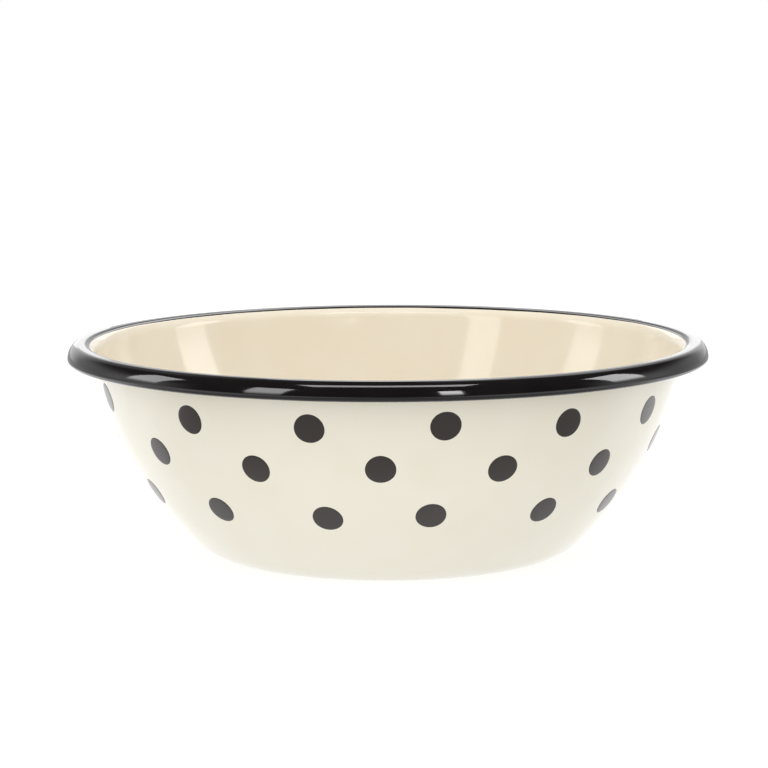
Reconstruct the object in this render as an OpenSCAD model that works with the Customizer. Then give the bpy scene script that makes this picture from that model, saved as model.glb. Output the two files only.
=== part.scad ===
// Enamelled steel bowl with a curled, dark rim and three rows of fired dots.
// Every layer of the wall is one face of the bowl set in by its own depth, and the
// layers share their faces. Depths are counted from the outside face inwards.

/* [Bowl] */
// Outside diameter over the rim
rim_d = 220; // [190:1:250]
// Height from the base to the top of the rim
bowl_h = 73.5; // [66:0.5:85]
// Diameter of the flat base
base_d = 108; // [90:1:120]
// Outside radius of the corner between the base and the wall
corner_r = 20; // [12:0.5:26]
// Slope of the wall just below the rim, in degrees from level
wall_top_slope = 79.5; // [72:0.5:84]

/* [Rim] */
// Height of the curled bead, with its enamel
bead_h = 6.3; // [5.6:0.1:7.4]
// Width of the bead, from its side to the inside of its curl
bead_w = 6.9; // [6.4:0.1:7.4]
// Radius of the shoulder, which leads from the flat on top into the bead's side
shoulder_r = 3.1; // [2.2:0.1:3.6]
// How far the shoulder turns, in degrees, before the slower round of the side
shoulder_turn = 52; // [35:1:62]
// Radius of the heel, at the foot of the bead's side
heel_r = 1.3; // [1.25:0.05:1.7]
// Radius of the curl, which leads from the bead's underside up below the lip
curl_r = 2.8; // [2.5:0.1:3.1]
// Inside radius of the lip that leads the wall over into the bead
lip_r = 4.6; // [3.8:0.1:5.6]
// Width of the flat on top of the rim, between the lip and the shoulder
lip_flat = 1.5; // [0.8:0.1:2.2]
// How far the dark enamel reaches down the lip, in degrees from its top
band_turn = 31.5; // [20:0.5:50]
// Gap between the end of the curl and the underside of the lip
curl_gap = 0.2; // [0.1:0.05:0.6]

/* [Wall] */
// Thickness of the pressed steel sheet
steel_t = 0.5; // [0.4:0.05:0.9]
// Thickness of the ground coat on each face of the sheet
ground_t = 0.15; // [0.06:0.01:0.25]
// Thickness of the cover coat on each face
cover_t = 0.15; // [0.1:0.01:0.25]

/* [Dots] */
// Diameter of each dot
dot_d = 10.1; // [6:0.1:12]
// Thickness of the fired dots
dot_t = 0.1; // [0.05:0.01:0.2]
// Number of dots in each row
row_dots = 14; // [8:1:15]
// Place of the upper row, as a share of the wall from its corner to its lip
upper_row_share = 0.813; // [0.75:0.001:0.86]
// Place of the middle row, as a share of the wall
middle_row_share = 0.606; // [0.55:0.001:0.64]
// Place of the lower row, as a share of the wall
lower_row_share = 0.35; // [0.2:0.001:0.4]
// Turn of the upper row's first dot, in degrees from the front
upper_row_turn = 10.6; // [-12:0.1:12]
// Turn of the middle row's first dot
middle_row_turn = -2; // [-12:0.1:12]
// Turn of the lower row's first dot
lower_row_turn = 10.9; // [-12:0.1:12]

/* [Hidden] */

// Facets of a full turn, for the bowl and for one dot
turn_facets = 180;
dot_facets = 60;

// Steps along each round stretch of the wall and the rim
corner_steps = 12;
wall_steps = 30;
lip_steps = 6;
tip_steps = 3;
shoulder_steps = 6;
side_steps = 5;
heel_steps = 6;
curl_steps = 12;

// How far each dot's cutter stands past the wall, to either side
cut_over = 2;

// How far each dot strays from its even place, round the wall and up it, in shares of its
// diameter. The rows were laid by hand, and each list starts at the front and goes round.
upper_stray_shares = [
    [0.02, 0.15], [0.01, -0.03], [-0.03, -0.1], [-0.06, 0.01], [-0.2, 0.07], [-0.42, -0.04], [-0.41, 0.06],
    [-0.49, -0.09], [-0.72, 0], [-0.75, 0.11], [-0.99, -0.06], [-1.03, 0.16], [0.01, 0.05], [0.05, 0.05],
];
middle_stray_shares = [
    [0.08, 0.12], [-0.07, 0], [-0.06, -0.24], [0.09, 0.02], [-0.06, 0.08], [-0.06, 0.02], [-0.35, -0.1],
    [-0.37, 0.07], [-0.46, -0.06], [-0.67, 0.12], [-0.68, 0], [-0.9, -0.06], [-0.01, 0.14], [0.06, -0.03],
];
lower_stray_shares = [
    [-0.23, 0.09], [0.08, -0.04], [0.04, -0.28], [-0.14, 0.04], [0.05, 0.07], [-0.17, -0.08], [-0.12, 0.13],
    [-0.05, -0.03], [-0.34, 0.02], [-0.2, -0.09], [-0.34, 0.04], [-0.33, 0.02], [-0.06, -0.06], [0.19, -0.04],
];

// Depth of each face, from the outside face of the bowl
ground_out = cover_t;
steel_out = ground_out + ground_t;
steel_in = steel_out + steel_t;
ground_in = steel_in + ground_t;
wall_t = ground_in + cover_t;

// Centres of the bead's rounds. The heel ends the side at its foot, and the side's round
// is as large as it takes for the shoulder to end level with the top of the rim.
heel_at = [rim_d / 2 - heel_r, bowl_h - bead_h + heel_r];
side_r = shoulder_r + (bead_h - heel_r - shoulder_r) / cos(shoulder_turn);
side_at = [rim_d / 2 - side_r, heel_at.y];
shoulder_at = side_at - (side_r - shoulder_r) * slope_normal(-shoulder_turn);
curl_at = [rim_d / 2 - bead_w + curl_r, bowl_h - bead_h + curl_r];

// Centre of the lip's round, and the radius of its underside
lip_at = [shoulder_at.x - lip_flat, bowl_h - lip_r];
lip_under_r = lip_r - wall_t;

// The corner's centre, and where the wall's outside face meets the lip
corner_at = [base_d / 2, corner_r];
wall_end = lip_at - lip_under_r * slope_normal(wall_top_slope);

// The wall is one arc that leaves the corner smoothly and ends at the lip with its slope
wall_span = wall_end - corner_at;
wall_r = (wall_span * wall_span - corner_r * corner_r)
    / (2 * (wall_span * slope_normal(wall_top_slope) - corner_r));
wall_at = wall_end - wall_r * slope_normal(wall_top_slope);
corner_turn = atan2(corner_at.x - wall_at.x, wall_at.y - corner_at.y);

// The curl turns until its end lies the named gap below the lip
curl_span = curl_at - lip_at;
curl_reach = lip_under_r - curl_gap;
curl_end = atan2(curl_span.y, curl_span.x) + acos(
    (curl_reach * curl_reach - curl_span * curl_span - curl_r * curl_r) / (2 * curl_r * norm(curl_span)));
curl_turn = 90 + 360 - curl_end;

// Slope of the lip's underside where the end of the curl points at it
curl_tip = curl_span + curl_r * [cos(curl_end), sin(curl_end)];
seam_turn = atan2(-curl_tip.x, curl_tip.y);

// Direction out of the bowl, square to a face of the given slope
function slope_normal(slope) = [sin(slope), -cos(slope)];

// Points of a round stretch without its first point, as its slope goes from one to another.
// A stretch that bulges up into the bowl has a negative radius.
function round_run(centre, r, from, to, steps) = [
    for (i = [1:steps]) centre + r * slope_normal(from + (to - from) * i / steps)
];

// Points of the face at one depth: the base, the corner and the wall up to the lip
function wall_face(depth) = concat(
    [[0, depth], [base_d / 2, depth]],
    round_run(corner_at, corner_r - depth, 0, corner_turn, corner_steps),
    round_run(wall_at, wall_r - depth, corner_turn, wall_top_slope, wall_steps)
);

// Points of the lip at one depth, from the wall up to a slope
function lip_face(depth, stop) =
    round_run(lip_at, -(lip_under_r + depth), wall_top_slope, stop, lip_steps);

// Points of the rim at one depth, from a slope on the lip over the flat and round the bead
function rim_face(depth, start) = let (inset = wall_t - depth) concat(
    round_run(lip_at, inset - lip_r, start, 0, tip_steps),
    [[shoulder_at.x, bowl_h - inset]],
    round_run(shoulder_at, inset - shoulder_r, 0, -shoulder_turn, shoulder_steps),
    round_run(side_at, inset - side_r, -shoulder_turn, -90, side_steps),
    round_run(heel_at, inset - heel_r, -90, -180, heel_steps),
    [[curl_at.x, bowl_h - bead_h + inset]],
    round_run(curl_at, inset - curl_r, -180, -curl_turn, curl_steps)
);

// Point of the lip at one depth and slope
function lip_point(depth, slope) = lip_at - (lip_under_r + depth) * slope_normal(slope);

// List of points from its end to its start
function reversed(points) = [for (i = [len(points) - 1:-1:0]) points[i]];

// Solid ring between an outer face and an inner face
module layer(outer, inner) {
    rotate_extrude($fn = turn_facets)
        polygon(concat(outer, reversed(inner)));
}

// Pressed sheet, with its edge curled outwards into a hollow bead
module steel_shell() {
    color("#8d9092")
        layer(
            concat(wall_face(steel_out), lip_face(steel_out, seam_turn), rim_face(steel_out, seam_turn)),
            concat(wall_face(steel_in), lip_face(steel_in, band_turn), rim_face(steel_in, band_turn))
        );
}

// Dark first coat of enamel on the inside face, over the rim and round the bead
module inside_ground_coat() {
    color("#2b3036")
        layer(
            concat(wall_face(steel_in), lip_face(steel_in, band_turn), rim_face(steel_in, band_turn)),
            concat(wall_face(ground_in), lip_face(ground_in, band_turn), rim_face(ground_in, band_turn))
        );
}

// Dark first coat of enamel on the outside face, up to the end of the curl
module outside_ground_coat() {
    color("#2b3036")
        layer(
            concat(wall_face(ground_out), lip_face(ground_out, seam_turn)),
            concat(wall_face(steel_out), lip_face(steel_out, seam_turn))
        );
}

// Cream cover coat inside, up to the dark band of the rim
module inside_enamel() {
    color("#eee5d3")
        layer(
            concat(wall_face(ground_in), lip_face(ground_in, band_turn)),
            concat(wall_face(wall_t), lip_face(wall_t, band_turn))
        );
}

// Cream cover coat outside, from the base up under the lip
module outside_enamel() {
    color("#e9e4d4")
        layer(
            concat(wall_face(0), lip_face(0, seam_turn)),
            concat(wall_face(ground_out), lip_face(ground_out, seam_turn))
        );
}

// Dark cover coat of the rim, from the lip round the bead to the end of the curl
module rim_enamel() {
    color("#1d1c1d")
        layer(
            concat([lip_point(ground_in, band_turn)], rim_face(ground_in, band_turn)),
            concat([lip_point(wall_t, band_turn)], rim_face(wall_t, band_turn))
        );
}

// Thin skin over the outside of the wall, which the dots are cut from
module dot_skin() {
    layer(
        concat([wall_point(-dot_t, 0)],
            round_run(wall_at, wall_r + dot_t, corner_turn, wall_top_slope, wall_steps)),
        concat([wall_point(0, 0)],
            round_run(wall_at, wall_r, corner_turn, wall_top_slope, wall_steps))
    );
}

// Slope of the wall at a share of its length, and the point there at one depth
function wall_slope(share) = corner_turn + (wall_top_slope - corner_turn) * share;
function wall_point(depth, share) = wall_at + (wall_r - depth) * slope_normal(wall_slope(share));

// Share of the wall's length that one dot's diameter takes
dot_share = dot_d / (wall_r * (wall_top_slope - corner_turn) * PI / 180);

// One row of dots, each square to the wall at its own place
module dot_row(row_share, first_turn, stray_shares) {
    intersection() {
        dot_skin();
        for (i = [0:row_dots - 1]) {
            stray = stray_shares[i % len(stray_shares)];
            share = row_share + stray.y * dot_share;
            spot = wall_point(0, share);
            turn = first_turn + 360 * i / row_dots + stray.x * dot_d / spot.x * 180 / PI;
            rotate([0, 0, turn - 90])
                translate([spot.x, 0, spot.y])
                    rotate([0, 180 - wall_slope(share), 0])
                        cylinder(d = dot_d, h = 2 * cut_over, center = true, $fn = dot_facets);
        }
    }
}

// Row of dots below the rim
module upper_dots() {
    color("#403d3b")
        dot_row(upper_row_share, upper_row_turn, upper_stray_shares);
}

// Row of dots half way down the wall
module middle_dots() {
    color("#403d3b")
        dot_row(middle_row_share, middle_row_turn, middle_stray_shares);
}

// Row of dots above the corner
module lower_dots() {
    color("#403d3b")
        dot_row(lower_row_share, lower_row_turn, lower_stray_shares);
}

steel_shell();
inside_ground_coat();
outside_ground_coat();
inside_enamel();
outside_enamel();
rim_enamel();
upper_dots();
middle_dots();
lower_dots();
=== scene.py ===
import math

import bpy
import numpy as np
from mathutils import Matrix, Vector


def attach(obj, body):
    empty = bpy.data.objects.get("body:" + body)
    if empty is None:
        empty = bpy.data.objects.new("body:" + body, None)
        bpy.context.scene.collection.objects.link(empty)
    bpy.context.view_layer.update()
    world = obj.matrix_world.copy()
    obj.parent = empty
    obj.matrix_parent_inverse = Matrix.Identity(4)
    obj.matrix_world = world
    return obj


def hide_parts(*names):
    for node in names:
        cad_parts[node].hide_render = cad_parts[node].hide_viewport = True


# An enamelled steel bowl: cream inside and out, a black curled rim, three rows of dots.
# The steel sheet and the dark ground coats are the frame's own nodes. Every coat that
# shows is a smooth surface made here from the same sizes, in metres.

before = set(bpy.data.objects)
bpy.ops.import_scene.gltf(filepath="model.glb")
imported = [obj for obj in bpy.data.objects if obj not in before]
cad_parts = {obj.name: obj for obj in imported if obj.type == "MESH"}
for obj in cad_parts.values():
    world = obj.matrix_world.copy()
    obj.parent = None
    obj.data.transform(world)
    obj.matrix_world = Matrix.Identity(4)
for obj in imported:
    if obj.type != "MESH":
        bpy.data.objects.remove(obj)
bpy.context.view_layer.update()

MM = 0.001

# The bowl's sizes, the same as the frame's
RIM_D = 220 * MM
BOWL_H = 73.5 * MM
BASE_D = 108 * MM
CORNER_R = 20 * MM
WALL_TOP_SLOPE = math.radians(79.5)
BEAD_H = 6.3 * MM
BEAD_W = 6.9 * MM
SHOULDER_R = 3.1 * MM
SHOULDER_TURN = math.radians(52)
HEEL_R = 1.3 * MM
CURL_R = 2.8 * MM
LIP_R = 4.6 * MM
LIP_FLAT = 1.5 * MM
BAND_TURN = math.radians(31.5)
CURL_GAP = 0.2 * MM
STEEL_T = 0.5 * MM
GROUND_T = 0.15 * MM
COVER_T = 0.15 * MM

# The dots' sizes, and each row's place up the wall as a share and round it as a turn
DOT_D = 10.1 * MM
DOT_T = 0.1 * MM
ROW_DOTS = 14
UPPER_ROW = (0.813, math.radians(10.6))
MIDDLE_ROW = (0.606, math.radians(-2))
LOWER_ROW = (0.35, math.radians(10.9))

# How far each dot strays round the wall and up it, in shares of its diameter. The rows
# were laid by hand, and each list starts at the front and goes round to the right.
UPPER_STRAY_SHARES = (
    (0.02, 0.15), (0.01, -0.03), (-0.03, -0.1), (-0.06, 0.01), (-0.2, 0.07),
    (-0.42, -0.04), (-0.41, 0.06), (-0.49, -0.09), (-0.72, 0), (-0.75, 0.11),
    (-0.99, -0.06), (-1.03, 0.16), (0.01, 0.05), (0.05, 0.05),
)
MIDDLE_STRAY_SHARES = (
    (0.08, 0.12), (-0.07, 0), (-0.06, -0.24), (0.09, 0.02), (-0.06, 0.08),
    (-0.06, 0.02), (-0.35, -0.1), (-0.37, 0.07), (-0.46, -0.06), (-0.67, 0.12),
    (-0.68, 0), (-0.9, -0.06), (-0.01, 0.14), (0.06, -0.03),
)
LOWER_STRAY_SHARES = (
    (-0.23, 0.09), (0.08, -0.04), (0.04, -0.28), (-0.14, 0.04), (0.05, 0.07),
    (-0.17, -0.08), (-0.12, 0.13), (-0.05, -0.03), (-0.34, 0.02), (-0.2, -0.09),
    (-0.34, 0.04), (-0.33, 0.02), (-0.06, -0.06), (0.19, -0.04),
)

# How finely each surface is divided
TURN_STEPS = 360
BASE_STEPS = 14
CORNER_STEPS = 14
WALL_STEPS = 44
LIP_STEPS = 16
TIP_STEPS = 6
FLAT_STEPS = 3
SHOULDER_STEPS = 16
SIDE_STEPS = 12
HEEL_STEPS = 12
CURL_STEPS = 24
EDGE_STEPS = 5
DOT_RINGS = 14
DOT_SIDES = 72

# The soft round at the end of a coat, and how far a dot's underside lies in the cream
COAT_EDGE = 0.12 * MM
DOT_SINK = 0.02 * MM

# Waves of the black coat's edge: each one's size in degrees, its count round the bowl and
# its phase
BAND_WAVES = ((0.9, 5, 0.4), (0.6, 11, 2.1), (0.35, 27, 4.4))

# Waves of a dot's edge: each one's share of the dot's radius, its count round the dot and
# its share of the phase, which goes on from dot to dot and from row to row
DOT_WAVES = ((0.008, 2, 1), (0.006, 3, 1.7))
DOT_PHASE = 2.4
ROW_PHASE = 9

# A dot's top is flat up to near its edge: the power of the distance by which it falls
DOME_POWER = 12

# A face that turns by more than this is a sharp edge
SHARP_TURN = math.radians(40)


def outward(slope):
    """Direction out of the bowl, square to a face of the given slope, as radius and height:
    the sine of the slope and the cosine turned down."""
    return np.stack([np.sin(slope), -np.cos(slope)], axis=-1)


# Depth of each face, counted from the outside face inwards
GROUND_OUT = COVER_T
GROUND_IN = COVER_T + GROUND_T + STEEL_T + GROUND_T
WALL_T = GROUND_IN + COVER_T

# Centres of the bead's rounds, as radius and height. The heel ends the side at its foot,
# and the side's round is as large as it takes for the shoulder to end level with the top.
HEEL_AT = np.array([RIM_D / 2 - HEEL_R, BOWL_H - BEAD_H + HEEL_R])
SIDE_R = SHOULDER_R + (BEAD_H - HEEL_R - SHOULDER_R) / math.cos(SHOULDER_TURN)
SIDE_AT = np.array([RIM_D / 2 - SIDE_R, HEEL_AT[1]])
SHOULDER_AT = SIDE_AT - (SIDE_R - SHOULDER_R) * outward(-SHOULDER_TURN)
CURL_AT = np.array([RIM_D / 2 - BEAD_W + CURL_R, BOWL_H - BEAD_H + CURL_R])

# Centres of the lip's round and of the corner's
LIP_AT = np.array([SHOULDER_AT[0] - LIP_FLAT, BOWL_H - LIP_R])
LIP_UNDER_R = LIP_R - WALL_T
CORNER_AT = np.array([BASE_D / 2, CORNER_R])

# The wall's arc leaves the corner smoothly and meets the lip with the lip's own slope
WALL_END = LIP_AT - LIP_UNDER_R * outward(WALL_TOP_SLOPE)
WALL_SPAN = WALL_END - CORNER_AT
WALL_R = (WALL_SPAN @ WALL_SPAN - CORNER_R**2) / (2 * (WALL_SPAN @ outward(WALL_TOP_SLOPE) - CORNER_R))
WALL_AT = WALL_END - WALL_R * outward(WALL_TOP_SLOPE)
CORNER_TURN = math.atan2(CORNER_AT[0] - WALL_AT[0], WALL_AT[1] - CORNER_AT[1])

# The curl turns until its end lies the gap below the lip's underside
CURL_SPAN = CURL_AT - LIP_AT
CURL_SPAN_L = np.linalg.norm(CURL_SPAN)
CURL_END = math.atan2(CURL_SPAN[1], CURL_SPAN[0]) + math.acos(
    ((LIP_UNDER_R - CURL_GAP) ** 2 - CURL_SPAN_L**2 - CURL_R**2) / (2 * CURL_R * CURL_SPAN_L)
)
CURL_TURN = math.radians(90 + 360) - CURL_END
CURL_TIP = CURL_SPAN + CURL_R * np.array([math.cos(CURL_END), math.sin(CURL_END)])
SEAM_TURN = math.atan2(-CURL_TIP[0], CURL_TIP[1])

# Turns round the bowl, counted from the front towards the right
TURNS = np.linspace(0, 2 * math.pi, TURN_STEPS, endpoint=False)


def run(start, stop, steps):
    """Values after start, up to and with stop, in even steps. Either end may be one value or
    one for each turn, and the steps lie along the last axis."""
    start, stop = np.asarray(start, float), np.asarray(stop, float)
    share = np.arange(1, steps + 1) / steps
    return start[..., None] + (stop - start)[..., None] * share


def round_run(centre, radius, start, stop, steps):
    """Points of an arc after its first: the centre plus the radius along the outward
    direction, while the slope goes evenly from start to stop."""
    return centre + radius * outward(run(start, stop, steps))


def level_run(start, stop, height, steps):
    """Points of a level line after its first, from one radius to another."""
    radii = run(start, stop, steps)
    return np.stack([radii, np.full(steps, height)], axis=-1)


def wall_face(depth):
    """The face at one depth from the axis to the lip: a level line, then the corner's arc
    and the wall's arc, each with its radius less by the depth."""
    base_r = np.linspace(0, CORNER_AT[0], BASE_STEPS + 1)
    base = np.stack([base_r, np.full(BASE_STEPS + 1, depth)], axis=-1)
    corner = round_run(CORNER_AT, CORNER_R - depth, 0, CORNER_TURN, CORNER_STEPS)
    wall = round_run(WALL_AT, WALL_R - depth, CORNER_TURN, WALL_TOP_SLOPE, WALL_STEPS)
    return np.concatenate([base, corner, wall])


def lip_face(depth, stop):
    """The lip's arc at one depth, from the wall to a slope that may differ round the bowl."""
    return round_run(LIP_AT, -(LIP_UNDER_R + depth), WALL_TOP_SLOPE, stop, LIP_STEPS)


def rim_face(depth, start):
    """The rim at one depth: the lip's arc from a slope to its top, the flat, and the bead's
    shoulder, side and heel, its level underside, and the curl's arc up to its end. Each arc
    has its radius less by how far the face lies below the outermost one."""
    inset = WALL_T - depth
    foot = math.radians(-180)
    side_end = math.radians(-90)
    return joined(
        round_run(LIP_AT, inset - LIP_R, start, 0, TIP_STEPS),
        level_run(LIP_AT[0], SHOULDER_AT[0], BOWL_H - inset, FLAT_STEPS),
        round_run(SHOULDER_AT, inset - SHOULDER_R, 0, -SHOULDER_TURN, SHOULDER_STEPS),
        round_run(SIDE_AT, inset - SIDE_R, -SHOULDER_TURN, side_end, SIDE_STEPS),
        round_run(HEEL_AT, inset - HEEL_R, side_end, foot, HEEL_STEPS),
        level_run(HEEL_AT[0], CURL_AT[0], BOWL_H - BEAD_H + inset, FLAT_STEPS),
        round_run(CURL_AT, inset - CURL_R, foot, -CURL_TURN, CURL_STEPS),
    )


def coat_edge(under, over, slope, side):
    """The rounded end of a coat on the lip, from its under face to its outer face: a quarter
    of an ellipse, as deep as the coat and as long as the coat's edge."""
    turn = np.linspace(0, math.pi / 2, EDGE_STEPS + 1)
    depth = under + (over - under) * np.sin(turn)
    back = side * COAT_EDGE / LIP_R * (1 - np.cos(turn))
    slopes = np.asarray(slope)[..., None] + back
    return LIP_AT - (LIP_UNDER_R + depth)[:, None] * outward(slopes)


def joined(*stretches):
    """Stretches of an outline end to end, each first repeated for every turn if it has only
    one outline for all."""
    turned = [np.broadcast_to(s, (TURN_STEPS, *s.shape[-2:])) for s in stretches]
    return np.concatenate(turned, axis=1)


def band_edge():
    """Slope on the lip where the black coat ends, for each turn: the band's slope and three
    slow waves, as a coat that was dipped and wiped by hand has."""
    waves = [math.radians(size) * np.sin(count * TURNS + phase) for size, count, phase in BAND_WAVES]
    return BAND_TURN + sum(waves)


def grid_faces(rings, sides, capped):
    """Faces between neighbouring rings of points. A capped grid has a point past each end,
    which stands last in the list and is joined by triangles; another grid closes on itself."""
    ring = np.arange(rings - 1 if capped else rings)[:, None]
    side = np.arange(sides)[None, :]
    next_ring, next_side = (ring + 1) % rings, (side + 1) % sides
    near, far = ring * sides, next_ring * sides
    quads = np.stack([near + side, near + next_side, far + next_side, far + side], axis=-1).reshape(-1, 4)
    if not capped:
        return quads, np.zeros((0, 3), int)
    last = (rings - 1) * sides
    sides_on = next_side[0]
    start = np.stack([np.full(sides, rings * sides), sides_on, side[0]], axis=-1)
    end = np.stack([np.full(sides, rings * sides + 1), last + side[0], last + sides_on], axis=-1)
    return quads, np.concatenate([start, end])


def made_piece(name, points, quads, triangles, nodes, material):
    """One piece of the object from its points and faces, smooth but for its sharp edges."""
    mesh = bpy.data.meshes.new(name)
    mesh.from_pydata(points.tolist(), [], quads.tolist() + triangles.tolist())
    mesh.shade_smooth()
    mesh.set_sharp_from_angle(angle=SHARP_TURN)
    mesh.materials.append(material)
    piece = bpy.data.objects.new(name, mesh)
    bpy.context.scene.collection.objects.link(piece)
    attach(piece, "root")
    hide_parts(*nodes)
    return piece


def turned_points(outline):
    """Each outline point at its own turn: the radius times the sine of the turn to the
    right, the radius times its cosine to the front, and the height as it is."""
    radius, height = outline[..., 0], outline[..., 1]
    sine, cosine = np.sin(TURNS)[:, None], np.cos(TURNS)[:, None]
    return np.stack([radius * sine, -radius * cosine, height], axis=-1)


def turned_coat(name, outer, inner, on_axis, nodes, material):
    """A coat of the bowl between two faces: the outer outline out and the inner outline
    back, turned round the axis. Ends that lie on the axis become one point each."""
    outline = np.concatenate([outer, inner[:, ::-1]], axis=1)
    if on_axis:
        ends = turned_points(outline[:, [0, -1]])[0]
        outline = outline[:, 1:-1]
    rings = turned_points(outline).transpose(1, 0, 2)
    points = rings.reshape(-1, 3)
    if on_axis:
        points = np.concatenate([points, ends])
    quads, triangles = grid_faces(len(rings), TURN_STEPS, on_axis)
    return made_piece(name, points, quads, triangles, nodes, material)


def dot_row(name, row, stray_shares, nodes, material):
    """A row of fired dots. A point of a dot lies at a share of its radius and an angle
    round it, laid on the wall's arc: its height turns the slope and its width turns the
    bowl. The top stands proud by a dome that is flat but for a soft edge, and the
    underside lies a little way in the cream."""
    row_share, row_turn = row
    stray = np.array(stray_shares)
    arc_l = WALL_R * (WALL_TOP_SLOPE - CORNER_TURN)
    slope = CORNER_TURN + (WALL_TOP_SLOPE - CORNER_TURN) * (row_share + stray[:, 1] * DOT_D / arc_l)
    spot_r = WALL_AT[0] + WALL_R * np.sin(slope)
    turn = row_turn + 2 * math.pi * np.arange(ROW_DOTS) / ROW_DOTS + stray[:, 0] * DOT_D / spot_r

    # Each dot's edge wavers by about a hundredth, differently on every dot
    angle = -np.linspace(0, 2 * math.pi, DOT_SIDES, endpoint=False)
    phase = DOT_PHASE * np.arange(ROW_DOTS)[:, None] + ROW_PHASE * row_share
    waver = sum(size * np.sin(count * angle + rate * phase) for size, count, rate in DOT_WAVES)
    edge = DOT_D / 2 * (1 + waver)

    # Rings close up towards the edge, where the dome falls
    out = np.sin(np.linspace(0, math.pi / 2, DOT_RINGS + 1)[1:])
    proud = DOT_T * np.sqrt(1 - out**DOME_POWER)
    share = np.concatenate([out, out[::-1], [0, 0]])
    depth = np.concatenate([-proud, np.full(DOT_RINGS, DOT_SINK), [-DOT_T, DOT_SINK]])

    across = share[None, :, None] * (edge * np.cos(angle))[:, None, :]
    up = share[None, :, None] * (edge * np.sin(angle))[:, None, :]
    slopes = slope[:, None, None] + np.arcsin(up / WALL_R)
    radius = WALL_AT[0] + (WALL_R - depth[None, :, None]) * np.sin(slopes)
    height = WALL_AT[1] - (WALL_R - depth[None, :, None]) * np.cos(slopes)
    turns = turn[:, None, None] + np.arcsin(across / radius)
    grid = np.stack([radius * np.sin(turns), -radius * np.cos(turns), height], axis=-1)

    # The two middle points follow the rings, as the faces expect them
    rings = grid[:, :-2].reshape(ROW_DOTS, -1, 3)
    middles = grid[:, -2:, 0]
    points = np.concatenate([rings, middles], axis=1)
    quads, triangles = grid_faces(2 * DOT_RINGS, DOT_SIDES, True)
    shift = points.shape[1] * np.arange(ROW_DOTS)[:, None, None]
    all_quads = (quads[None] + shift).reshape(-1, 4)
    all_triangles = (triangles[None] + shift).reshape(-1, 3)
    return made_piece(name, points.reshape(-1, 3), all_quads, all_triangles, nodes, material)


def linear(code):
    """An sRGB hex colour as linear red, green, blue and a full alpha."""
    shown = np.array([int(code[i : i + 2], 16) for i in (1, 3, 5)]) / 255
    light = np.where(shown <= 0.04045, shown / 12.92, ((shown + 0.055) / 1.055) ** 2.4)
    return (*light.tolist(), 1.0)


def add(tree, kind, values=(), links=(), **settings):
    """A node of one kind with its settings, its inputs' values and the outputs that feed it."""
    node = tree.nodes.new(kind)
    for name, value in settings.items():
        setattr(node, name, value)
    for name, value in values:
        node.inputs[name].default_value = value
    for name, source in links:
        tree.links.new(source, node.inputs[name])
    return node


def new_material(name):
    """An empty node material, with its output and the object's own coordinates."""
    material = bpy.data.materials.new(name)
    material.use_nodes = True
    tree = material.node_tree
    tree.nodes.clear()
    output = add(tree, "ShaderNodeOutputMaterial")
    place = add(tree, "ShaderNodeTexCoord").outputs["Object"]
    return material, tree, output, place


# Real distances in fired enamel: the slow waves of the flow, the fine unevenness, the
# pinholes, and a pinhole's radius where it is full and where it ends
FLOW_APART = 14 * MM
FINE_APART = 1.6 * MM
PINHOLES_APART = 9 * MM
PINHOLE_R = 0.144 * MM
PINHOLE_END_R = 0.252 * MM

# The values of the flow's noise at which the coat counts as thick and as thin, the shares
# of its roughness between which the gloss varies, and the heights of the fine unevenness
# and of a pinhole, as shares of a slow wave's
THICK_FLOW = 0.35
THIN_FLOW = 0.75
GLOSS_SHARES = (0.8, 1.2)
FINE_SHARE = 0.006
PINHOLE_SHARE = -0.02


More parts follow.
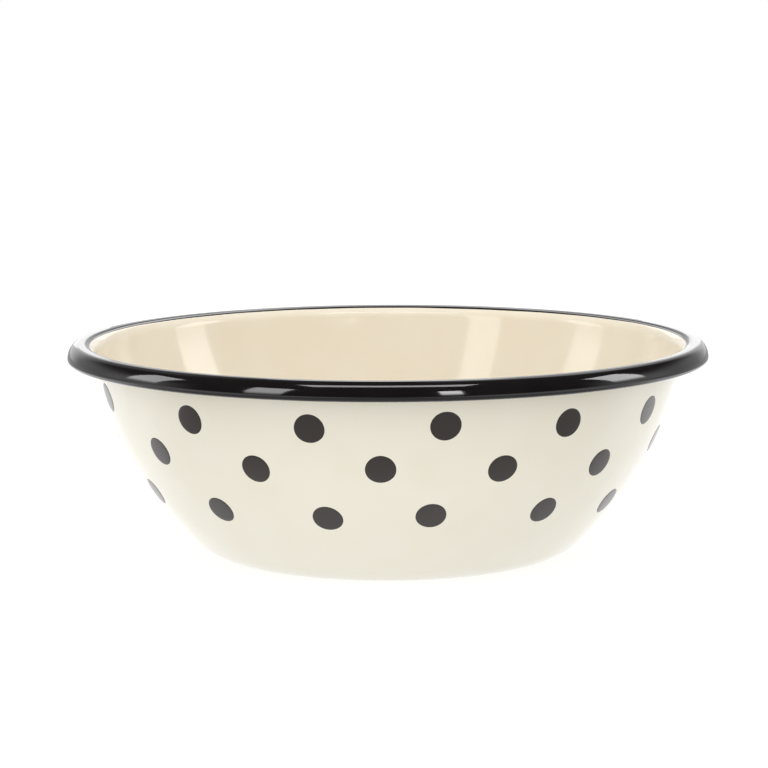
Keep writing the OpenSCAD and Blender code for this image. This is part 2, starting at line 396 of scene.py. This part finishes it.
def vitreous_enamel(name, colour, thin_colour, roughness, ior, speck_share, wave_depth):
    """Vitreous enamel: glass frit sprayed or dipped wet over steel and fired until it flows.
    The eye gets a deep gloss that bends a little over slow waves of the flow, a fine
    unevenness where the frit didn't level out, a colour that drifts where the coat is
    thinner, and a few pinholes in which the dark ground coat shows."""
    material, tree, output, place = new_material(name)

    # Slow waves of the flow, and the fine unevenness
    flow, fine = (
        add(tree, "ShaderNodeTexNoise", [("Scale", 1 / apart), ("Detail", 1.0)], [("Vector", place)])
        for apart in (FLOW_APART, FINE_APART)
    )

    # Pinholes, which are drawn only in a share of their cells
    cells = add(tree, "ShaderNodeTexVoronoi", [("Scale", 1 / PINHOLES_APART)], [("Vector", place)])
    drawn = add(
        tree, "ShaderNodeMath", [(1, speck_share)], [(0, cells.outputs["Color"])], operation="LESS_THAN"
    )
    near = add(
        tree,
        "ShaderNodeMapRange",
        [("From Min", PINHOLE_END_R / PINHOLES_APART), ("From Max", PINHOLE_R / PINHOLES_APART)],
        [("Value", cells.outputs["Distance"])],
    )
    speck = add(
        tree, "ShaderNodeMath", [], [(0, near.outputs[0]), (1, drawn.outputs[0])], operation="MULTIPLY"
    )

    # The colour drifts to that of the thinner coat, and to the ground coat in a pinhole
    drift = add(
        tree,
        "ShaderNodeMapRange",
        [("From Min", THICK_FLOW), ("From Max", THIN_FLOW)],
        [("Value", flow.outputs[0])],
    )
    body = add(
        tree,
        "ShaderNodeMix",
        [(6, linear(colour)), (7, linear(thin_colour))],
        [(0, drift.outputs[0])],
        data_type="RGBA",
    )
    shown = add(
        tree,
        "ShaderNodeMix",
        [(7, linear(PINHOLE_COLOUR))],
        [(0, speck.outputs[0]), (6, body.outputs[2])],
        data_type="RGBA",
    )

    # The gloss varies a little with the fine unevenness
    sharpest, dullest = (roughness * share for share in GLOSS_SHARES)
    gloss = add(
        tree,
        "ShaderNodeMapRange",
        [("To Min", sharpest), ("To Max", dullest)],
        [("Value", fine.outputs[0])],
    )

    # The height of the face: the flow, the fine unevenness on it, and the pinholes in it
    pitted = add(
        tree, "ShaderNodeMath", [(1, PINHOLE_SHARE)], [(0, speck.outputs[0])], operation="MULTIPLY"
    )
    fine_height = add(
        tree,
        "ShaderNodeMath",
        [(1, FINE_SHARE)],
        [(0, fine.outputs[0]), (2, pitted.outputs[0])],
        operation="MULTIPLY_ADD",
    )
    height = add(
        tree,
        "ShaderNodeMath",
        [(1, 1.0)],
        [(0, flow.outputs[0]), (2, fine_height.outputs[0])],
        operation="MULTIPLY_ADD",
    )
    relief = add(tree, "ShaderNodeBump", [("Distance", wave_depth)], [("Height", height.outputs[0])])
    shader = add(
        tree,
        "ShaderNodeBsdfPrincipled",
        [("IOR", ior)],
        [("Base Color", shown.outputs[2]), ("Roughness", gloss.outputs[0]), ("Normal", relief.outputs[0])],
    )
    tree.links.new(shader.outputs[0], output.inputs["Surface"])
    return material


# The coats' own values: a colour and that of the thinner places, the roughness, the IOR,
# the share of pinhole cells that are drawn, and the depth of the flow's waves. Enamel's
# IOR is about 1.5, and the inside's and the rim's are matched to the bowl.
PINHOLE_COLOUR = "#23272c"
ENAMELS = {
    # The first coat, a cobalt frit dipped over the bare sheet: dark, glossy blue grey
    "ground_coat_enamel": {
        "colour": PINHOLE_COLOUR,
        "thin_colour": "#2c3138",
        "roughness": 0.12,
        "ior": 1.5,
        "speck_share": 0.0,
        "wave_depth": 0.01 * MM,
    },
    # The inside, a warm cream frit sprayed evenly: smooth, with pale streaks of the lamps
    "inside_cream_enamel": {
        "colour": "#eee5d3",
        "thin_colour": "#ece2ce",
        "roughness": 0.08,
        "ior": 1.35,
        "speck_share": 0.12,
        "wave_depth": 0.01 * MM,
    },
    # The outside, a greyer cream frit: a soft gloss that the table's light fades out
    "outside_cream_enamel": {
        "colour": "#e9e4d4",
        "thin_colour": "#e7e1cf",
        "roughness": 0.12,
        "ior": 1.5,
        "speck_share": 0.12,
        "wave_depth": 0.01 * MM,
    },
    # The rim, a black frit dipped and wiped: the deepest gloss, with the lamps as lenses
    "black_rim_enamel": {
        "colour": "#161314",
        "thin_colour": "#1c1819",
        "roughness": 0.07,
        "ior": 1.58,
        "speck_share": 0.0,
        "wave_depth": 0.008 * MM,
    },
    # The dots, a charcoal colour stamped on the cream and fired again: a satin gloss
    "charcoal_dot_enamel": {
        "colour": "#322c29",
        "thin_colour": "#362f2c",
        "roughness": 0.2,
        "ior": 1.5,
        "speck_share": 0.0,
        "wave_depth": 0.01 * MM,
    },
}

# The sheet's two tones, its rolling grain's length, width and depth, and its roughness
# where the grain is fine and where it is coarse
STEEL_COLOUR = "#8d9092"
STEEL_DARK = "#7a7d80"
GRAIN_L = 12 * MM
GRAIN_W = 0.4 * MM
GRAIN_DEPTH = 0.02 * MM
STEEL_FINE = 0.32
STEEL_COARSE = 0.5


def pickled_steel():
    """Cold-rolled enamelling sheet, pickled dull in acid before it was coated: a fine grey
    grain that runs one way from the rolls, with a soft metal gloss."""
    material, tree, output, place = new_material("pickled_steel")

    # The noise is drawn out to the grain's length along the rolls
    grain_scale = (1 / GRAIN_L, 1 / GRAIN_W, 1 / GRAIN_W)
    stretched = add(tree, "ShaderNodeMapping", [("Scale", grain_scale)], [("Vector", place)])
    grain = add(
        tree,
        "ShaderNodeTexNoise",
        [("Scale", 1.0), ("Detail", 3.0)],
        [("Vector", stretched.outputs[0])],
    )
    tone = add(
        tree,
        "ShaderNodeMix",
        [(6, linear(STEEL_COLOUR)), (7, linear(STEEL_DARK))],
        [(0, grain.outputs[0])],
        data_type="RGBA",
    )
    gloss = add(
        tree,
        "ShaderNodeMapRange",
        [("To Min", STEEL_FINE), ("To Max", STEEL_COARSE)],
        [("Value", grain.outputs[0])],
    )
    relief = add(tree, "ShaderNodeBump", [("Distance", GRAIN_DEPTH)], [("Height", grain.outputs[0])])
    shader = add(
        tree,
        "ShaderNodeBsdfPrincipled",
        [("Metallic", 1.0)],
        [("Base Color", tone.outputs[2]), ("Roughness", gloss.outputs[0]), ("Normal", relief.outputs[0])],
    )
    tree.links.new(shader.outputs[0], output.inputs["Surface"])
    return material


def dress(node, material):
    """Gives a node of the frame its material, and leaves its mesh as it is."""
    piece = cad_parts[node]
    piece.data.materials.clear()
    piece.data.materials.append(material)


def build_bowl():
    """The hidden sheet and ground coats, the three cover coats and the three rows of dots."""
    enamels = {name: vitreous_enamel(name, **values) for name, values in ENAMELS.items()}
    charcoal = enamels["charcoal_dot_enamel"]

    dress("steel_shell", pickled_steel())
    dress("inside_ground_coat", enamels["ground_coat_enamel"])
    dress("outside_ground_coat", enamels["ground_coat_enamel"])

    # The inside cream ends in a soft edge where the black coat starts
    edge = band_edge()
    turned_coat(
        "inside_cream_coat",
        joined(wall_face(GROUND_IN), lip_face(GROUND_IN, edge)),
        joined(
            wall_face(WALL_T),
            lip_face(WALL_T, edge + COAT_EDGE / LIP_R),
            coat_edge(GROUND_IN, WALL_T, edge, 1)[:, ::-1],
        ),
        True,
        ["inside_enamel"],
        enamels["inside_cream_enamel"],
    )
    turned_coat(
        "outside_cream_coat",
        joined(wall_face(0), lip_face(0, SEAM_TURN)),
        joined(wall_face(GROUND_OUT), lip_face(GROUND_OUT, SEAM_TURN)),
        True,
        ["outside_enamel"],
        enamels["outside_cream_enamel"],
    )
    turned_coat(
        "black_rim_coat",
        rim_face(GROUND_IN, edge),
        joined(coat_edge(GROUND_IN, WALL_T, edge, -1), rim_face(WALL_T, edge - COAT_EDGE / LIP_R)),
        False,
        ["rim_enamel"],
        enamels["black_rim_enamel"],
    )
    dot_row("upper_dot_row", UPPER_ROW, UPPER_STRAY_SHARES, ["upper_dots"], charcoal)
    dot_row("middle_dot_row", MIDDLE_ROW, MIDDLE_STRAY_SHARES, ["middle_dots"], charcoal)
    dot_row("lower_dot_row", LOWER_ROW, LOWER_STRAY_SHARES, ["lower_dots"], charcoal)


# The floor's half width, and the colour and glow that the camera sees
FLOOR_HALF = 3.0
FLOOR_COLOUR = "#a8a8a8"
FLOOR_GLOW = 0.72

# What the gloss sees of the table, as soft patches: all of it, its front at either side, a
# pool of light before the bowl's foot, and the part behind the bowl. Each has a strength
# and the values that it fades over, and distances are in metres.
TABLE_PATCHES = (
    (0.5, ()),
    (0.5, (("aside", 0.15, 0.35), ("behind", 0.3, 0))),
    (0.55, (("reach", 0.15, 0.09), ("behind", 0.02, -0.09))),
    (0.95, (("behind", -0.09, 0.02), ("reach", 0.6, 0.3))),
)

# What the gloss sees of the room: a dark front, grey walls at the sides and behind, paler
# low down, and a window behind to either side, the right one brighter towards its top.
# Values are parts of the unit direction.
LEFT_WINDOW = (("right", -0.02, -0.1), ("right", -0.6, -0.4), ("up", 0.85, 0.7), ("behind", 0, 0.3))
RIGHT_WINDOW = (("right", 0.02, 0.1), ("right", 0.45, 0.2), ("up", 0.85, 0.7), ("behind", 0, 0.3))
ROOM_PATCHES = (
    (0.04, ()),
    (0.42, (("behind", -0.35, 0.05), ("up", 0.5, 0.2))),
    (0.3, (("behind", -0.35, 0.05), ("up", 0.4, 0.1), ("aside", 0.8, 0.97))),
    (0.35, (("behind", 0.8, 0.97), ("up", 0.4, 0.1))),
    (0.2, LEFT_WINDOW),
    (0.25, RIGHT_WINDOW),
    (1.0, (*RIGHT_WINDOW, ("up", 0.3, 0.6))),
)

# What lights matt surfaces: an even fill, a soft light overhead, a broad low light from the
# front, whose direction is given, and a little from below
FILL_TOWARD = (-0.25, -0.97, 0)
FILL_PATCHES = (
    (0.79, ()),
    (0.78, (("up", 0.4, 1),)),
    (0.58, (("toward", 0, 1), ("up", 0.45, 0.15), ("up", -0.95, -0.3))),
    (0.08, (("up", -0.2, -1),)),
)


def soft_patches(tree, values, patches):
    """Sum of patches of light. Each patch is a strength times a smooth step of every value
    it names, from none at the step's first end to all at its second."""
    total = add(tree, "ShaderNodeValue").outputs[0]
    for strength, steps in patches:
        patch = add(tree, "ShaderNodeMath", [(0, strength), (1, 1.0)], operation="MULTIPLY").outputs[0]
        for name, start, stop in steps:
            step = add(
                tree,
                "ShaderNodeMapRange",
                [("From Min", start), ("From Max", stop)],
                [("Value", values[name])],
                interpolation_type="SMOOTHSTEP",
            )
            patch = add(
                tree, "ShaderNodeMath", [], [(0, patch), (1, step.outputs[0])], operation="MULTIPLY"
            ).outputs[0]
        total = add(tree, "ShaderNodeMath", [], [(0, total), (1, patch)], operation="ADD").outputs[0]
    return total


def build_floor():
    """A pale table. The camera sees it lit and a little bright of itself, so that it is
    white but for the bowl's shadow. The gloss sees its patches of light."""
    mesh = bpy.data.meshes.new("floor")
    half = FLOOR_HALF
    corners = [(-half, -half, 0), (half, -half, 0), (half, half, 0), (-half, half, 0)]
    mesh.from_pydata(corners, [], [(0, 1, 2, 3)])
    floor = bpy.data.objects.new("floor", mesh)
    bpy.context.scene.collection.objects.link(floor)
    floor.visible_diffuse = False

    material, tree, output, place = new_material("pale_table")
    axes = add(tree, "ShaderNodeSeparateXYZ", [], [(0, place)])
    reach = add(tree, "ShaderNodeVectorMath", [], [(0, place)], operation="LENGTH")
    aside = add(tree, "ShaderNodeMath", [], [(0, axes.outputs["X"])], operation="ABSOLUTE")
    values = {"reach": reach.outputs["Value"], "behind": axes.outputs["Y"], "aside": aside.outputs[0]}
    glow = soft_patches(tree, values, TABLE_PATCHES)
    in_gloss = add(tree, "ShaderNodeEmission", [], [("Strength", glow)])
    lit = add(tree, "ShaderNodeBsdfDiffuse", [("Color", linear(FLOOR_COLOUR))])
    own = add(tree, "ShaderNodeEmission", [("Strength", FLOOR_GLOW)])
    seen = add(tree, "ShaderNodeAddShader", [], [(0, lit.outputs[0]), (1, own.outputs[0])])
    path = add(tree, "ShaderNodeLightPath")
    mixed = add(
        tree,
        "ShaderNodeMixShader",
        [],
        [(0, path.outputs["Is Camera Ray"]), (1, in_gloss.outputs[0]), (2, seen.outputs[0])],
    )
    tree.links.new(mixed.outputs[0], output.inputs["Surface"])
    mesh.materials.append(material)


def build_world():
    """The room's light: white behind the bowl for the camera, a fill for matt surfaces, and
    for the gloss a room with two windows behind and a dark front."""
    world = bpy.data.worlds.new("studio")
    bpy.context.scene.world = world
    world.use_nodes = True
    tree = world.node_tree
    tree.nodes.clear()
    way = add(tree, "ShaderNodeTexCoord").outputs["Generated"]
    axes = add(tree, "ShaderNodeSeparateXYZ", [], [(0, way)])
    aside = add(tree, "ShaderNodeMath", [], [(0, axes.outputs["X"])], operation="ABSOLUTE")
    toward = add(tree, "ShaderNodeVectorMath", [(1, FILL_TOWARD)], [(0, way)], operation="DOT_PRODUCT")
    values = {
        "right": axes.outputs["X"],
        "behind": axes.outputs["Y"],
        "up": axes.outputs["Z"],
        "aside": aside.outputs[0],
        "toward": toward.outputs["Value"],
    }
    white_light = ("Color", (1, 1, 1, 1))
    room_glow = soft_patches(tree, values, ROOM_PATCHES)
    fill_glow = soft_patches(tree, values, FILL_PATCHES)
    room = add(tree, "ShaderNodeBackground", [white_light], [("Strength", room_glow)])
    fill = add(tree, "ShaderNodeBackground", [white_light], [("Strength", fill_glow)])
    white = add(tree, "ShaderNodeBackground", [white_light, ("Strength", 1.0)])
    path = add(tree, "ShaderNodeLightPath")
    matt_or_gloss = add(
        tree,
        "ShaderNodeMixShader",
        [],
        [(0, path.outputs["Is Glossy Ray"]), (1, fill.outputs[0]), (2, room.outputs[0])],
    )
    seen = add(
        tree,
        "ShaderNodeMixShader",
        [],
        [(0, path.outputs["Is Camera Ray"]), (1, matt_or_gloss.outputs[0]), (2, white.outputs[0])],
    )
    output = add(tree, "ShaderNodeOutputWorld")
    tree.links.new(seen.outputs[0], output.inputs["Surface"])


# The lamps and reflectors, which light the gloss alone: each one's turn from the camera's
# side towards the right, the heights it goes between and its spread, all in degrees as
# seen from the bowl's rim, its distance in metres, its radiance, and the share of its
# height over which it fades at its lower edge
SOFTBOXES = {
    "left_softbox": (-94.5, (3, 36.7), 15.4, 1.6, 4.3, 0.4),
    "right_softbox": (91.9, (4, 37.5), 16.2, 1.6, 6.4, 0.4),
    "front_softbox": (-42.7, (-2, 34.5), 13.5, 1.6, 5.1, 0.5),
    "small_lamp": (18.1, (0.5, 19.3), 6.4, 0.305, 10.5, 0.65),
    "left_reflector": (-151.2, (0, 8), 9, 0.285, 0.8, 0.2),
    "right_reflector": (153, (0, 8), 9.2, 0.281, 0.8, 0.2),
    "rear_reflector": (180, (10, 33), 17, 0.4, 1.5, 0.2),
}

# The overhead strip: its height over the rim, its length along the bowl's width, its width,
# how far it stands in front, its radiance, and the share of its width that it fades over
STRIP_RISE = 1.0
STRIP_L = 0.9
STRIP_W = 0.26
STRIP_FRONT = 0.545
STRIP_RADIANCE = 5.6
STRIP_FADE = 0.05


def lamp_panel(name, length, width, radiance, low_fade):
    """A flat lamp, which only gloss sees. Its power is pi times its area times its radiance,
    and towards its lower edge it fades over a share of its width."""
    lamp = bpy.data.lights.new(name, "AREA")
    lamp.shape = "RECTANGLE"
    lamp.size = length
    lamp.size_y = width
    lamp.energy = math.pi * length * width * radiance
    lamp.use_nodes = True
    tree = lamp.node_tree
    tree.nodes.clear()
    place = add(tree, "ShaderNodeNewGeometry").outputs["Parametric"]
    axes = add(tree, "ShaderNodeSeparateXYZ", [], [(0, place)])
    glow = soft_patches(tree, {"across": axes.outputs["Y"]}, ((1.0, (("across", 0, low_fade),)),))
    emission = add(tree, "ShaderNodeEmission", [], [("Strength", glow)])
    output = add(tree, "ShaderNodeOutputLight")
    tree.links.new(emission.outputs[0], output.inputs["Surface"])
    panel = bpy.data.objects.new(name, lamp)
    panel.visible_camera = False
    panel.visible_diffuse = False
    bpy.context.scene.collection.objects.link(panel)
    return panel


def softbox(name, turn, heights, spread, away, radiance, low_fade):
    """A lamp panel that faces the bowl: it covers a spread of turns about one turn and the
    heights from the low one to the high one, in degrees, as seen from the bowl's rim."""
    low, high = heights
    turn, rise = math.radians(turn), math.radians((low + high) / 2)
    toward = Vector((math.sin(turn) * math.cos(rise), -math.cos(turn) * math.cos(rise), math.sin(rise)))
    length = 2 * away * math.tan(math.radians(spread) / 2)
    width = 2 * away * math.tan(math.radians(high - low) / 2)
    panel = lamp_panel(name, length, width, radiance, low_fade)
    panel.location = Vector((0, 0, BOWL_H)) + away * toward
    panel.rotation_mode = "QUATERNION"
    panel.rotation_quaternion = toward.to_track_quat("Z", "Y")


def build_lamps():
    """Two tall softboxes at the sides, a narrow one in front to the left, a small low lamp
    in front to the right, three reflectors close behind the bowl, to the left, to the
    right and in the middle, and a strip overhead along the bowl's width."""
    for name, values in SOFTBOXES.items():
        softbox(name, *values)
    strip = lamp_panel("overhead_strip", STRIP_L, STRIP_W, STRIP_RADIANCE, STRIP_FADE)
    strip.location = (0, -STRIP_FRONT, BOWL_H + STRIP_RISE)


# The camera's place, its aim and its roll, from the bowl's own outline in the photograph,
# and the lens, whose focal length is a share of the sensor's width in millimetres
CAMERA_AWAY = 1.155
CAMERA_RISE = 216.7 * MM
CAMERA_TILT = 0.1365
CAMERA_YAW = 0.0012
CAMERA_ROLL = 0.0037
FOCAL_SHARE = 4.4003
SENSOR_W = 36


def build_camera():
    """A long lens, in front of the bowl and a little above it."""
    data = bpy.data.cameras.new("camera")
    data.sensor_width = SENSOR_W
    data.lens = FOCAL_SHARE * SENSOR_W
    data.clip_start = 10 * MM
    camera = bpy.data.objects.new("camera", data)
    bpy.context.scene.collection.objects.link(camera)
    turned = Matrix.Rotation(CAMERA_YAW, 4, "Z")
    tilted = Matrix.Rotation(math.pi / 2 - CAMERA_TILT, 4, "X")
    rolled = Matrix.Rotation(-CAMERA_ROLL, 4, "Z")
    camera.matrix_world = Matrix.Translation((0, -CAMERA_AWAY, CAMERA_RISE)) @ turned @ tilted @ rolled
    bpy.context.scene.camera = camera


build_bowl()
build_floor()
build_world()
build_lamps()
build_camera()
bpy.context.scene.view_settings.view_transform = "Standard"
